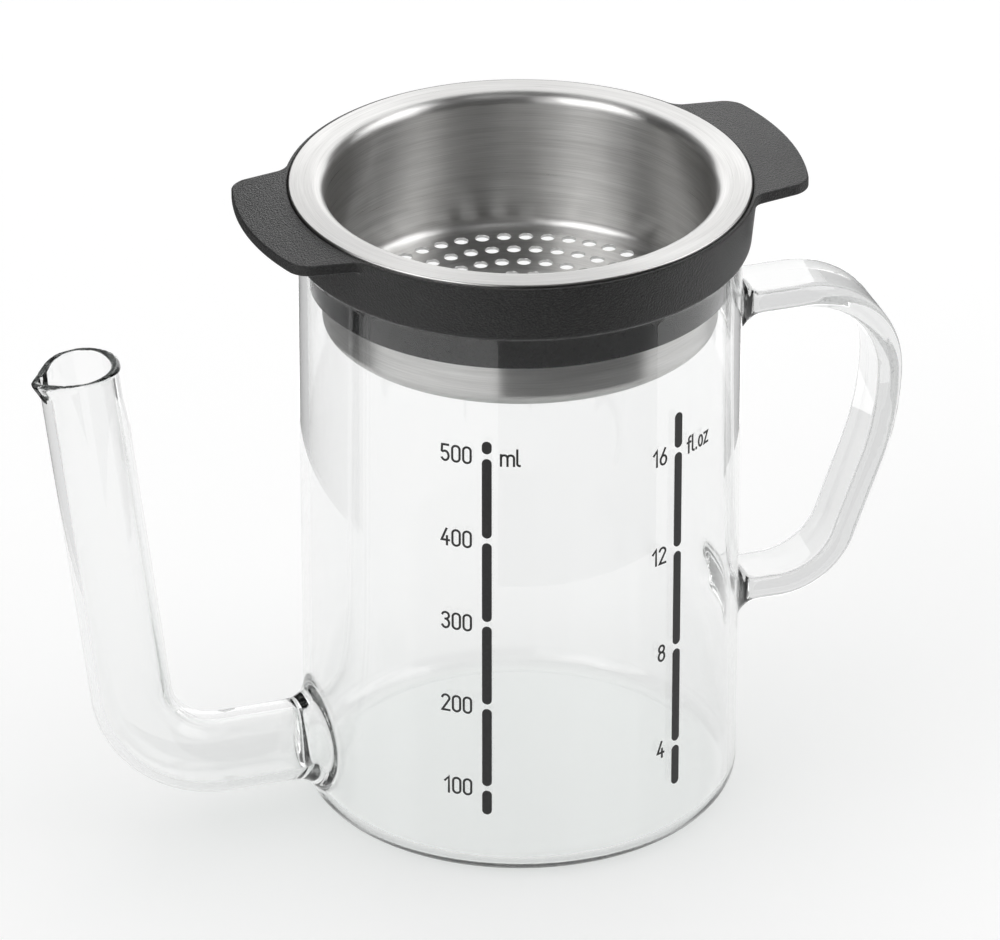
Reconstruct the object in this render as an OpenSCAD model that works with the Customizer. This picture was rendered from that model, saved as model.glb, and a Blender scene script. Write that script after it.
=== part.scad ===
// Gravy fat separator: a clear glass jug whose spout leaves at the foot, with a
// lift-out strainer in its mouth. Millimetres, +Z up, origin under the jug's axis
// on the table, handle towards +X and spout towards -X.

/* [Jug] */
// Outer diameter of the glass jug
jug_d = 86; // [76:0.5:100]
// Height of the jug's rim above the table
jug_h = 118.3; // [112:0.1:150]
// Thickness of the jug's wall
jug_wall = 1.7; // [1.2:0.1:2.5]
// Thickness of the jug's floor
jug_floor = 2; // [1.5:0.1:4]
// Outer radius of the corner between wall and floor
jug_corner_r = 5; // [3:0.5:6]

/* [Spout] */
// Outer diameter of the spout's tube
spout_d = 16; // [13:0.5:18]
// Thickness of the spout's wall
spout_wall = 1.8; // [1.2:0.1:2.4]
// Height of the horizontal run's axis above the table
spout_run_z = 14.9; // [14:0.1:20]
// Distance from the jug's wall to where the run's axis meets the upright's
spout_reach = 34.8; // [30:0.1:50]
// Bend radius of the tube's centre line
spout_bend_r = 18.9; // [12:0.1:22]
// Outward lean of the upright, in degrees
spout_lean = 7; // [3:0.5:12]
// How far the middle of the spout's rim lies below the jug's rim
spout_rim_drop = 14; // [8:0.5:30]
// How far the pouring lip stands out past the tube
spout_lip = 1.9; // [1:0.1:3]
// How far the lip's tip lies below the middle of the spout's rim
spout_lip_drop = 0.9; // [0:0.1:2]
// Height over which the tube widens into the lip
spout_lip_h = 6; // [4:0.5:9]

/* [Handle] */
// Width of the handle's flat bar at the top
handle_w = 15.2; // [10:0.1:18]
// Width of the bar where it joins the jug below
handle_low_w = 13.5; // [8:0.1:18]
// Thickness of the bar
handle_t = 5; // [3.5:0.1:7]
// How far the top run's middle lies below the jug's rim
handle_drop = 18.9; // [14:0.1:30]
// Height of the lower joint's middle above the table
handle_low_z = 35.3; // [28:0.1:45]
// Greatest distance from the jug's wall to the bar's middle
handle_reach = 31.8; // [28:0.1:45]
// Bend radius at the top of the handle
handle_top_r = 19; // [12:0.5:22]
// Bend radius where the bar turns inwards
handle_side_r = 59; // [30:1:80]
// Bend radius at the bottom of the handle
handle_low_r = 15; // [10:0.5:20]
// Inward lean of the handle's straight stretch, in degrees
handle_lean = 19.5; // [10:0.5:25]

/* [Printed scales] */
// Angle of each scale from the jug's front, in degrees
scale_angle = 26.6; // [20:0.1:40]
// Width of the printed bars
scale_bar_w = 1.9; // [1:0.1:3]
// Gap that marks each quantity
scale_gap = 1.1; // [0.6:0.1:2]
// How far the bars run on below the first millilitre mark
scale_tail = 5.8; // [4:0.1:8]
// How far the bars run on above the last millilitre mark
scale_head = 3.2; // [2:0.1:5]
// Thickness of the print
scale_t = 0.15; // [0.1:0.05:0.3]
// Millilitres between two marks
scale_step_ml = 100; // [50:10:100]
// Fluid ounces between two marks
scale_step_oz = 4; // [2:1:4]

/* [Collar] */
// Height of the collar
collar_h = 11.6; // [9:0.1:16]
// Inward draft of the collar's outside, top to bottom
collar_draft = 1; // [0:0.1:1.5]
// Radius of the collar's lower edge
collar_edge_r = 1; // [0.5:0.1:1.2]
// Radius of the collar's upper edge
collar_lip_r = 0.4; // [0.2:0.1:0.6]
// Width of the collar's rim round the steel flange
ledge_w = 1; // [0.9:0.1:2]
// Gap between the collar and the jug's rim
rim_gap = 0.2; // [0.1:0.05:0.4]
// How far each ear stands out past the collar
ear_reach = 9.9; // [6:0.1:16]
// Width of each ear near its tip
ear_w = 39; // [30:0.5:46]
// Widening of each ear towards the collar, in degrees a side
ear_flare = 9; // [0:1:15]
// Thickness of the ears
ear_t = 2.2; // [1.8:0.1:4]
// Radius of the ears' corners
ear_corner_r = 2.5; // [2:0.5:6]
// Radius of the hollow corners where the ears leave the collar
ear_root_r = 1.5; // [0.5:0.5:3]
// Angle by which the strainer is turned in the mouth, in degrees
insert_turn = 2.5; // [-10:0.5:10]

/* [Retaining sleeve] */
// Clearance between the sleeve and the inside of the jug
mouth_gap = 0.6; // [0.4:0.1:1]
// Thickness of the sleeve below the collar
sleeve_wall = 2.2; // [1.8:0.1:3]
// Length of the sleeve below the collar
sleeve_h = 7.6; // [5:0.1:12]
// Height of the sleeve's tongue inside the collar
tongue_h = 5.5; // [3:0.1:7]
// Step from the sleeve's outside in to its tongue
tongue_step = 0.5; // [0.3:0.1:0.7]
// Clearance of the tongue in the collar
tongue_gap = 0.05; // [0.02:0.01:0.1]

/* [Strainer bowl] */
// Thickness of the bowl's steel
steel_t = 0.6; // [0.4:0.1:0.8]
// Width of the flange's visible top, with its rounding
flange_w = 6.9; // [6:0.1:9]
// How far the flange stands above the collar
flange_rise = 0.4; // [0.2:0.1:1]
// Height of the flange's turned-down edge, steel included
flange_edge_h = 1.6; // [1.2:0.1:2.5]
// Radius of the rounding between flange and wall
flange_round_r = 2.4; // [1.5:0.1:3]
// Depth of the bowl from the flange's top to its underside
bowl_depth = 29.3; // [26:0.1:45]
// Outer radius of the corner between the bowl's wall and floor
bowl_corner_r = 3; // [2:0.1:4]
// Clearance of the bowl in the collar and the sleeve
bowl_gap = 0.1; // [0.05:0.05:0.3]
// Clearance round the flange's edge in its groove
flange_gap = 0.25; // [0.15:0.05:0.5]
// Diameter of the strainer's holes
hole_d = 2.8; // [2:0.1:3.2]
// Distance between the rings of holes
hole_pitch = 5.5; // [4.5:0.1:7]

/* [Hidden] */
$fn = 96;
past = 1;                 // how far a cut runs past the face that it opens
glass = [0.86, 0.9, 0.9, 0.35];
print_grey = [0.16, 0.16, 0.16];

// jug
jug_r = jug_d / 2;
mouth_r = jug_r - jug_wall;
jug_inner_corner_r = jug_corner_r - jug_wall;

// spout, worked out in the plane of the run and the upright
spout_r = spout_d / 2;
bore_r = spout_r - spout_wall;
spout_turn = 90 - spout_lean;
spout_knee = jug_r + spout_reach;
bend_cut = spout_bend_r * tan(spout_turn / 2);
bend_start = spout_knee - bend_cut;
bend_end_z = spout_run_z + bend_cut * cos(spout_lean);
spout_rim_z = jug_h - spout_rim_drop;
upright_h = (spout_rim_z - bend_end_z) / cos(spout_lean);
lip_r = spout_wall / 2;
lip_sink = 0.2;           // how far the lip's flare starts inside the tube's wall
weld_h = 0.02;            // bead of the joint between bend and upright, in and out
weld_w = 0.4;

// handle
handle_top_z = jug_h - handle_drop;
handle_out = jug_r + handle_reach;
handle_side_z = handle_top_z - handle_top_r - handle_side_r * tan(handle_lean / 2);
handle_root = jug_r - jug_wall;       // the bar starts here and is cut back to the jug
handle_foot = handle_out - (handle_side_z - handle_low_z) * tan(handle_lean);
handle_corners = [[handle_root, handle_top_z], [handle_out, handle_top_z],
                  [handle_out, handle_side_z], [handle_foot, handle_low_z],
                  [handle_root, handle_low_z]];
handle_radii = [0, handle_top_r, handle_side_r, handle_low_r, 0];
handle_sides = 20;
handle_power = 3;                     // 2 is an ellipse, more is squarer
bend_steps = [0, 14, 5, 10, 0];

// scales: the level of a volume in jug and spout together
ml_in_oz = 29.5735;
ml_marks = 5;
oz_marks = 4;
corner_loss = 2 * PI * (mouth_r - 0.223 * jug_inner_corner_r)
              * (1 - PI / 4) * pow(jug_inner_corner_r, 2);
level_area = PI * (pow(mouth_r, 2) + pow(bore_r, 2) / cos(spout_lean));
bend_length = spout_bend_r * spout_turn * PI / 180;
low_spout = PI * pow(bore_r, 2)
            * (bend_start - mouth_r + bend_length - bend_end_z / cos(spout_lean));
low_volume = low_spout - corner_loss - PI * pow(mouth_r, 2) * jug_floor;
function level(ml) = (ml * 1000 - low_volume) / level_area;
ml_heights = [for (k = [1:ml_marks]) level(k * scale_step_ml)];
oz_heights = [for (k = [1:oz_marks]) level(k * scale_step_oz * ml_in_oz)];
scale_low = ml_heights[0] - scale_tail;
scale_high = ml_heights[ml_marks - 1] + scale_head;

// strainer insert, from the mouth inwards to the bowl and out again to the collar
collar_z = jug_h + rim_gap;
collar_top = collar_z + collar_h;
sleeve_r = mouth_r - mouth_gap;
sleeve_low_z = collar_z - sleeve_h;
tongue_r = sleeve_r - tongue_step;
tongue_top = collar_z + tongue_h;
sleeve_edge = 0.5;
bowl_bore_r = sleeve_r - sleeve_wall;
bowl_r = bowl_bore_r - bowl_gap;
flange_top = collar_top + flange_rise;
flange_r = bowl_r - steel_t + flange_w;
bowl_z = flange_top - bowl_depth;
bend_mid = [bowl_r - steel_t + flange_round_r, flange_top - flange_round_r];
collar_r = flange_r + ledge_w;
collar_low_r = collar_r - collar_draft;
ear_r = collar_r + ear_reach;
ear_tip_x = sqrt(pow(ear_r, 2) - pow(ear_w / 2, 2));
ear_overlap = (ledge_w - flange_gap) / 2;   // how far the ears reach into the ring
seat_z = flange_top - steel_t - bowl_gap;
groove_floor = flange_top - flange_edge_h - flange_gap;
groove_in_r = flange_r - steel_t - flange_gap;
groove_out_r = flange_r + flange_gap;
hole_rings = floor((bowl_r - bowl_corner_r - hole_d / 2) / hole_pitch);
holes_in_first_ring = 8;

// ---- glass ----

// Half section of a round vessel's solid, closed at the bottom
module vessel_half(r, z, top, corner) {
    translate([0, z]) square([r - corner, corner]);
    translate([0, z + corner]) square([r, top - z - corner]);
    intersection() {
        translate([r - corner, z + corner]) circle(r = corner);
        translate([0, z]) square([r, corner]);
    }
}

module jug_body() color(glass) {
    difference() {
        rotate_extrude() {
            difference() {
                vessel_half(jug_r, 0, jug_h - jug_wall / 2, jug_corner_r);
                vessel_half(mouth_r, jug_floor, jug_h + past, jug_inner_corner_r);
            }
            translate([jug_r - jug_wall / 2, jug_h - jug_wall / 2]) circle(d = jug_wall);
        }
        translate([0, 0, spout_run_z]) rotate([0, -90, 0]) cylinder(r = bore_r, h = jug_r + past);
    }
}

// The spout's path as a solid of radius r, towards +X
module spout_path(r, start, extra) {
    translate([start, 0, spout_run_z]) rotate([0, 90, 0]) cylinder(r = r, h = bend_start - start);
    bend_plane() rotate_extrude(angle = spout_turn) translate([spout_bend_r, 0]) circle(r = r);
    upright() cylinder(r = r, h = upright_h + extra);
    upright() translate([0, 0, -weld_w / 2]) cylinder(r = r + weld_h, h = weld_w);
}

// Lays the plane of the bend upright, with its centre at the origin and its start at +X
module bend_plane() {
    translate([bend_start, 0, spout_run_z + spout_bend_r]) rotate([90, 0, 0])
        rotate([0, 0, -90]) children();
}

// Places a shape on the upright's axis, with z = 0 at the end of the bend
module upright() {
    bend_plane() rotate([0, 0, spout_turn]) translate([spout_bend_r, 0, 0])
        rotate([-90, 0, 0]) children();
}

// The widening towards the pouring lip, r round the axis and tip_r round the tip
module lip_flare(r, tip_r, top) {
    hull($fn = 32) {
        translate([0, 0, -spout_lip_h]) cylinder(r = r - lip_sink, h = spout_lip_h + top);
        translate([spout_r + spout_lip - lip_r, 0, top - spout_lip_drop]) sphere(r = tip_r);
    }
}

module spout_tube() color(glass) rotate([0, 0, 180]) {
    difference() {
        union() {
            spout_path(spout_r, mouth_r, -spout_lip_h);
            upright() translate([0, 0, upright_h - lip_r]) {
                lip_flare(spout_r, lip_r, 0);
                rotate_extrude() {
                    translate([spout_r - lip_r, 0]) circle(r = lip_r);
                    translate([0, -spout_lip_h]) square([spout_r, spout_lip_h]);
                    square([spout_r - lip_r, lip_r]);
                }
            }
        }
        spout_path(bore_r, mouth_r - past, past);
        upright() translate([0, 0, upright_h - lip_r]) lip_flare(bore_r, lip_r / 2, lip_r + past);
        cylinder(r = jug_r, h = jug_h);
    }
}

// Direction from a to b
function heading(a, b) = (b - a) / norm(b - a);
// Points of the arc that rounds corner b between a and c with radius r
function rounded(a, b, c, r, steps) =
    let (u = heading(b, a), v = heading(b, c), half = acos(u * v) / 2,
         mid = b + (u + v) / norm(u + v) * r / sin(half),
         from = b + u * r / tan(half) - mid,
         side = sign(u[0] * v[1] - u[1] * v[0]))
    [for (k = [0:steps]) let (t = -side * (180 - 2 * half) * k / steps)
        mid + [from[0] * cos(t) - from[1] * sin(t), from[0] * sin(t) + from[1] * cos(t)]];
handle_line = concat([handle_corners[0]],
    [for (i = [1:3]) each rounded(handle_corners[i - 1], handle_corners[i],
                                  handle_corners[i + 1], handle_radii[i], bend_steps[i])],
    [handle_corners[4]]);
function section_wave(v, power) = sign(v) * pow(abs(v), 2 / power);

module jug_handle() color(glass) {
    last = len(handle_line) - 1;
    rings = [for (i = [0:last])
        let (p = handle_line[i],
             d = heading(handle_line[max(i - 1, 0)], handle_line[min(i + 1, last)]),
             share = (handle_top_z - p[1]) / (handle_top_z - handle_low_z),
             w = handle_w + (handle_low_w - handle_w) * share)
        [for (k = [0:handle_sides - 1])
            let (a = 360 * k / handle_sides,
                 across = w / 2 * section_wave(cos(a), handle_power),
                 out = handle_t / 2 * section_wave(sin(a), handle_power))
            [p[0] - d[1] * out, across, p[1] + d[0] * out]]];
    sides = [for (i = [0:last - 1]) for (k = [0:handle_sides - 1])
        let (n = (k + 1) % handle_sides, a = i * handle_sides, b = a + handle_sides)
        each [[a + k, b + n, b + k], [a + k, a + n, b + n]]];
    difference() {
        polyhedron(points = [for (ring = rings) each ring],
                   faces = concat(sides, [[for (k = [handle_sides - 1:-1:0]) k]],
                                  [[for (k = [0:handle_sides - 1]) last * handle_sides + k]]));
        cylinder(r = jug_r, h = jug_h);
    }
}

// ---- printed scales ----

// One upright bar from low to high with round ends, on the jug's outside at +X
module printed_bar(low, high) {
    end_r = scale_bar_w / 2;
    intersection() {
        difference() {
            cylinder(r = jug_r + scale_t, h = jug_h);
            translate([0, 0, -past]) cylinder(r = jug_r, h = jug_h + 2 * past);
        }
        union() {
            translate([0, -end_r, low + end_r])
                cube([jug_r + past, scale_bar_w, high - low - scale_bar_w]);
            for (z = [low + end_r, high - end_r])
                translate([0, 0, z]) rotate([0, 90, 0]) cylinder(r = end_r, h = jug_r + past);
        }
    }
}

// A row of bars with a gap at each height in marks
module printed_scale(marks, turn) {
    ends = concat([scale_low], marks, [scale_high]);
    color(print_grey) rotate([0, 0, turn])
        for (i = [0:len(ends) - 2])
            printed_bar(ends[i] + (i == 0 ? 0 : scale_gap / 2),
                        ends[i + 1] - (i == len(ends) - 2 ? 0 : scale_gap / 2));
}

module ml_scale() printed_scale(ml_heights, -90 - scale_angle);
module floz_scale() printed_scale(oz_heights, -90 + scale_angle);

// ---- strainer insert ----

// Half an ear's width at a distance x from the axis
function ear_half(x) = ear_w / 2 + (ear_tip_x - x) * tan(ear_flare);

// Flat outline of both ears with their rounded corners, joined by a disc
module ear_outline() {
    offset(r = -ear_root_r) offset(r = ear_root_r) {
        circle(r = collar_r - ear_overlap / 4);
        offset(r = ear_corner_r) offset(delta = -ear_corner_r) intersection() {
            circle(r = ear_r);
            for (side = [0, 180]) rotate(side)
                polygon([[0, -ear_half(0)], [ear_r, -ear_half(ear_r)],
                         [ear_r, ear_half(ear_r)], [0, ear_half(0)]]);
        }
    }
}

module collar_ring() color([0.2, 0.2, 0.2]) rotate([0, 0, insert_turn]) {
    rotate_extrude() {
        polygon([[bowl_bore_r, tongue_top + tongue_gap], [bowl_bore_r, bend_mid[1]],
                 bend_mid, [bend_mid[0], seat_z],
                 [groove_in_r, seat_z], [groove_in_r, groove_floor],
                 [groove_out_r, groove_floor], [groove_out_r, collar_top],
                 [collar_r - collar_lip_r, collar_top], [collar_r, collar_top - collar_lip_r],
                 [collar_low_r, collar_z + collar_edge_r],
                 [collar_low_r - collar_edge_r, collar_z],
                 [tongue_r + tongue_gap, collar_z],
                 [tongue_r + tongue_gap, tongue_top + tongue_gap]]);
        translate(bend_mid) circle(r = flange_round_r - steel_t - bowl_gap);
        translate([collar_r - collar_lip_r, collar_top - collar_lip_r]) circle(r = collar_lip_r);
        translate([collar_low_r - collar_edge_r, collar_z + collar_edge_r])
            circle(r = collar_edge_r);
    }
    translate([0, 0, collar_top - ear_t]) difference() {
        linear_extrude(ear_t) ear_outline();
        translate([0, 0, -past]) cylinder(r = collar_r - ear_overlap, h = ear_t + 2 * past);
    }
}

module retaining_sleeve() color([0.13, 0.13, 0.14]) rotate_extrude() {
    polygon([[bowl_bore_r, sleeve_low_z], [sleeve_r - sleeve_edge, sleeve_low_z],
             [sleeve_r, sleeve_low_z + sleeve_edge], [sleeve_r, collar_z],
             [tongue_r, collar_z], [tongue_r, tongue_top], [bowl_bore_r, tongue_top]]);
}

// Half section of the bowl: wall and floor, rounding, flange, turned-down edge
module bowl_half() {
    difference() {
        vessel_half(bowl_r, bowl_z, bend_mid[1], bowl_corner_r);
        vessel_half(bowl_r - steel_t, bowl_z + steel_t, flange_top, bowl_corner_r - steel_t);
    }
    intersection() {
        translate(bend_mid) difference() {
            circle(r = flange_round_r);
            circle(r = flange_round_r - steel_t);
        }
        translate([bowl_r - steel_t, bend_mid[1]]) square(flange_round_r);
    }
    translate([bend_mid[0], flange_top - steel_t])
        square([flange_r - steel_t - bend_mid[0], steel_t]);
    translate([flange_r - steel_t, flange_top - steel_t]) intersection() {
        circle(r = steel_t);
        square(steel_t);
    }
    translate([flange_r - steel_t, flange_top - flange_edge_h])
        square([steel_t, flange_edge_h - steel_t]);
}

module strainer_bowl() color([0.78, 0.78, 0.77]) rotate([0, 0, insert_turn]) difference() {
    rotate_extrude() bowl_half();
    for (ring = [0:hole_rings])
        let (count = max(1, ring * holes_in_first_ring))
        for (k = [0:count - 1]) rotate([0, 0, 360 * k / count])
            translate([ring * hole_pitch, 0, bowl_z - past])
                cylinder(d = hole_d, h = steel_t + 2 * past, $fn = 24);
}

jug_body();
spout_tube();
jug_handle();
ml_scale();
floz_scale();
collar_ring();
retaining_sleeve();
strainer_bowl();
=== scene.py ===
import math

import bmesh
import bpy
import numpy as np
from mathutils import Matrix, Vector
from mathutils.geometry import delaunay_2d_cdt

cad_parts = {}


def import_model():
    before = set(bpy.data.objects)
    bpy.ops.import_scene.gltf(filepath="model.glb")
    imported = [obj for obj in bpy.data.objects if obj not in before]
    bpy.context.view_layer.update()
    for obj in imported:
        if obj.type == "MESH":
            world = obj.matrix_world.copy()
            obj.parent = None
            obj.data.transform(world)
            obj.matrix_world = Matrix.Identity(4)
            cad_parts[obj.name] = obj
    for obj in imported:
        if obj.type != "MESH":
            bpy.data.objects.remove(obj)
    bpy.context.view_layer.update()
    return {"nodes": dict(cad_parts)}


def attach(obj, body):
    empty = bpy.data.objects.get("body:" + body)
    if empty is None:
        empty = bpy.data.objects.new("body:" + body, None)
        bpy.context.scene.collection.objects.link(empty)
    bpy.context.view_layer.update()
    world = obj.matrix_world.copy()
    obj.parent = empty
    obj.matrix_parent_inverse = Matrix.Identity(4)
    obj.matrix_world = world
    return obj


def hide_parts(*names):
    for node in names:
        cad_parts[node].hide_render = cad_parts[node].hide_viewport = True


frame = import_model()
NODES = frame["nodes"]
MM = 0.001

# ---------------------------------------------------------------- sizes, in mm
# jug: outer radius, height, wall, floor, outer radius of the corner below
JUG_R, JUG_H, JUG_WALL, JUG_FLOOR, JUG_CORNER = 43.0, 118.3, 1.7, 2.0, 5.0
MOUTH_R = JUG_R - JUG_WALL

# spout: outer and bore radius, where its run starts inside the jug, the run's height, distance of the knee
SPOUT_R, BORE_R, RUN_START, RUN_Z, KNEE = 8.0, 6.2, 34.0, 14.9, 77.8
BEND_R, LEAN, RIM_Z = 18.9, math.radians(7), 104.3
# its pouring lip: reach outside and inside, radius of the tip outside and inside, droop, height of the flare
LIP, LIP_IN, LIP_R, LIP_IN_R, LIP_DROP, LIP_H = 1.9, 2.45, 0.9, 0.675, 0.9, 6.0
# the lip's form holds above TIP_H under the rim, and the rim is rounded above RIM_H under it
TIP_H, TIP_R, RIM_H = 9.0, 16.0, 3.5

# handle: width of the bar above and below, its thickness, radius of its edges
BAR_W, BAR_LOW_W, BAR_T, BAR_EDGE = 15.2, 13.5, 5.0, 2.25
BAR_TOP_Z, BAR_LOW_Z, BAR_OUT, BAR_LEAN = 99.4, 35.3, 74.8, math.radians(19.5)
BAR_RADII = (19.0, 59.0, 15.0)

# melted corners where spout and handle run into the wall, and round the hole to the spout
SPOUT_MELT, BAR_MELT, BORE_MELT = 5.0, 5.5, 3.0

# collar: heights, radius above and below, rounding above and below
TURN = math.radians(2.5)
COLLAR_Z, COLLAR_TOP, COLLAR_R, COLLAR_LOW_R = 118.5, 130.1, 45.7, 44.7
COLLAR_LIP_R, COLLAR_EDGE_R = 0.4, 1.0
# its ears: radius of their ends, width, flare, thickness, radius of their corners and of their roots in plan
EAR_R, EAR_W, EAR_FLARE, EAR_T, EAR_CORNER, EAR_ROOT = 55.6, 39.0, math.radians(9), 2.2, 2.5, 1.5

# bowl: flange, sheet thickness, rounding between wall and flange, turned-down edge
FLANGE_TOP, FLANGE_R, STEEL, ROUND_R, FLANGE_EDGE_H = 130.5, 44.7, 0.6, 2.4, 1.6
BOWL_R, BOWL_Z, BOWL_CORNER = 38.4, 101.2, 3.0
HOLE_D, HOLE_PITCH, RINGS, HOLE_EDGE = 2.8, 5.5, 6, 0.05
MID_R, MID_Z = BOWL_R - STEEL + ROUND_R, FLANGE_TOP - ROUND_R

# sleeve, and the gaps between the insert's pieces
SLEEVE_R, SLEEVE_Z, SLEEVE_EDGE, TONGUE_R, TONGUE_TOP = 40.7, 110.9, 0.5, 40.2, 124.0
BOWL_GAP, FLANGE_GAP, TONGUE_GAP = 0.1, 0.25, 0.05

# scales: their angle from the front, height of the first mark, height of 100 ml, fl.oz as a share of 100 ml
SCALE_ANGLE, MARK_Z, MARK_STEP, OZ = math.radians(26.6), 19.87, 18.25, 0.295735
# figures: height, width of the strokes, how far the ink stands out of the glass and goes into it
CAP, PEN, INK_OUT, INK_IN = 3.8, 0.44, 0.07, 0.02


# ---------------------------------------------------------------- mesh helpers
def add_object(name, data):
    ob = bpy.data.objects.new(name, data)
    bpy.context.scene.collection.objects.link(ob)
    return ob


def new_mesh(name, verts, faces, normals=None, flat=False):
    """A mesh object from points in mm, smooth, with its own normals if they are given."""
    me = bpy.data.meshes.new(name)
    verts = np.asarray(verts, float) * MM
    me.from_pydata(verts.tolist(), [], [list(map(int, f)) for f in faces])
    me.update()
    me.polygons.foreach_set("use_smooth", [not flat] * len(me.polygons))
    if normals is not None and len(normals) == len(verts):
        me.normals_split_custom_set_from_vertices(np.asarray(normals, float).tolist())
    elif normals is not None:
        me.set_sharp_from_angle(angle=math.radians(35))
        me.normals_split_custom_set(np.asarray(normals, float).tolist())
    return add_object(name, me)


def outline(*parts):
    """Segments (from, to, normal at from, normal at to) of a profile in the (r, z) plane, solid on the left.
    A part is a point to go to, or (centre r, centre z, radius, first angle, last angle, steps) for an arc."""
    segs, at = [], None
    for part in parts:
        if len(part) == 2:
            if at is not None and math.dist(at, part) > 1e-6:
                d = np.subtract(part, at) / math.dist(at, part)
                segs.append((at, part, (d[1], -d[0]), (d[1], -d[0])))
            at = part
            continue
        cr, cz, radius, a0, a1, steps = part
        sign = 1 if a1 > a0 else -1
        t = np.radians(np.linspace(a0, a1, steps + 1))
        pts = [(cr + radius * math.cos(x), cz + radius * math.sin(x)) for x in t]
        nor = [(sign * math.cos(x), sign * math.sin(x)) for x in t]
        if at is not None and math.dist(at, pts[0]) > 1e-6:
            d = np.subtract(pts[0], at) / math.dist(at, pts[0])
            segs.append((at, pts[0], (d[1], -d[0]), (d[1], -d[0])))
        segs += [(pts[i], pts[i + 1], nor[i], nor[i + 1]) for i in range(steps)]
        at = pts[-1]
    return segs


def turned(segs, count, turn=0.0):
    """Points, faces and corner normals of a profile turned about Z, and how many points each angle has.
    The points of one angle follow each other."""
    a = 2 * math.pi * np.arange(count) / count + turn
    closed = math.dist(segs[0][0], segs[-1][1]) < 1e-6
    p = np.array([q[0] for q in segs] + ([] if closed else [segs[-1][1]]), float)
    n = len(p)
    verts = np.stack([p[None, :, 0] * np.cos(a)[:, None], p[None, :, 0] * np.sin(a)[:, None],
                      np.broadcast_to(p[None, :, 1], (count, n))], -1).reshape(-1, 3)
    faces, corners = [], []
    for i in range(count):
        j = (i + 1) % count
        for k, (_, _, n0, n1) in enumerate(segs):
            m = (k + 1) % n
            faces.append((i * n + k, j * n + k, j * n + m, i * n + m))
            for q, nor in ((i, n0), (j, n0), (j, n1), (i, n1)):
                corners.append((nor[0] * math.cos(a[q]), nor[0] * math.sin(a[q]), nor[1]))
    return verts, faces, corners, n


def crisp(ob, angle=30):
    """Splits the shading at edges sharper than angle, and lets faces weigh the normals."""
    me = ob.data
    me.set_sharp_from_angle(angle=math.radians(angle))
    mod = ob.modifiers.new("weighted", "WEIGHTED_NORMAL")
    mod.keep_sharp = True
    mod.weight = 80
    return ob


# ---------------------------------------------------------------- distance fields
def smin(a, b, k):
    h = np.maximum(k - np.abs(a - b), 0) / k
    return np.minimum(a, b) - h * h * k / 4


def smooth01(t):
    t = np.clip(t, 0, 1)
    return t * t * (3 - 2 * t)


def vessel(r, z, radius, low, corner):
    """Distance to an upright cylinder that is open above and rounded below."""
    a, b = r - (radius - corner), low + corner - z
    return np.hypot(np.maximum(a, 0), np.maximum(b, 0)) + np.minimum(np.maximum(a, b), 0) - corner


def rounded_path(corners, radii):
    """Lines and arcs through corners, rounded by radii at the inner ones."""
    pts = [np.array(c, float) for c in corners]
    parts, start = [], pts[0]
    for i in range(1, len(pts) - 1):
        u = (pts[i] - pts[i - 1]) / np.linalg.norm(pts[i] - pts[i - 1])
        v = (pts[i + 1] - pts[i]) / np.linalg.norm(pts[i + 1] - pts[i])
        turn = math.acos(float(np.clip(u @ v, -1, 1)))
        cut = radii[i - 1] * math.tan(turn / 2)
        side = 1.0 if u[0] * v[1] - u[1] * v[0] > 0 else -1.0
        a, b = pts[i] - u * cut, pts[i] + v * cut
        mid = a + side * radii[i - 1] * np.array([-u[1], u[0]])
        parts.append(("line", start, a))
        parts.append(("arc", mid, radii[i - 1], a, b, side))
        start = b
    parts.append(("line", start, pts[-1]))
    return parts


def path_distance(parts, s, z):
    """Distance in the plane to a path of lines and arcs."""
    best = np.full(np.shape(s), 1e9)
    for part in parts:
        if part[0] == "line":
            a, b = part[1], part[2]
            d = b - a
            t = np.clip(((s - a[0]) * d[0] + (z - a[1]) * d[1]) / max(float(d @ d), 1e-12), 0, 1)
            best = np.minimum(best, np.hypot(s - a[0] - t * d[0], z - a[1] - t * d[1]))
        else:
            _, mid, r, a, b, side = part
            a0 = math.atan2(a[1] - mid[1], a[0] - mid[0])
            a1 = math.atan2(b[1] - mid[1], b[0] - mid[0])
            span = (side * (a1 - a0)) % (2 * math.pi)
            t = (side * (np.arctan2(z - mid[1], s - mid[0]) - a0)) % (2 * math.pi)
            on = t <= span
            best = np.where(on, np.minimum(best, np.abs(np.hypot(s - mid[0], z - mid[1]) - r)), best)
    return best


def teardrop(v, u, big, small, reach):
    """Distance to the hull of a circle at the origin and a small one at u = reach."""
    v = np.abs(v)
    reach = np.maximum(reach, big - small + 1e-6)
    b = (big - small) / reach
    a = np.sqrt(np.maximum(1 - b * b, 0))
    k = -b * v + a * u
    return np.where(k < 0, np.hypot(v, u) - big,
                    np.where(k > a * reach, np.hypot(v, u - reach) - small, v * a + u * b - big))


SPOUT_END = (KNEE + math.tan(LEAN) * (RIM_Z - RUN_Z), RIM_Z)
SPOUT_PATH = rounded_path([(RUN_START, RUN_Z), (KNEE, RUN_Z), SPOUT_END], [BEND_R])
BAR_SIDE_Z = BAR_TOP_Z - BAR_RADII[0] - BAR_RADII[1] * math.tan(BAR_LEAN / 2)
BAR_PATH = rounded_path(
    [(MOUTH_R, BAR_TOP_Z), (BAR_OUT, BAR_TOP_Z), (BAR_OUT, BAR_SIDE_Z),
     (BAR_OUT - (BAR_SIDE_Z - BAR_LOW_Z) * math.tan(BAR_LEAN), BAR_LOW_Z), (MOUTH_R, BAR_LOW_Z)],
    BAR_RADII)


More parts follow.
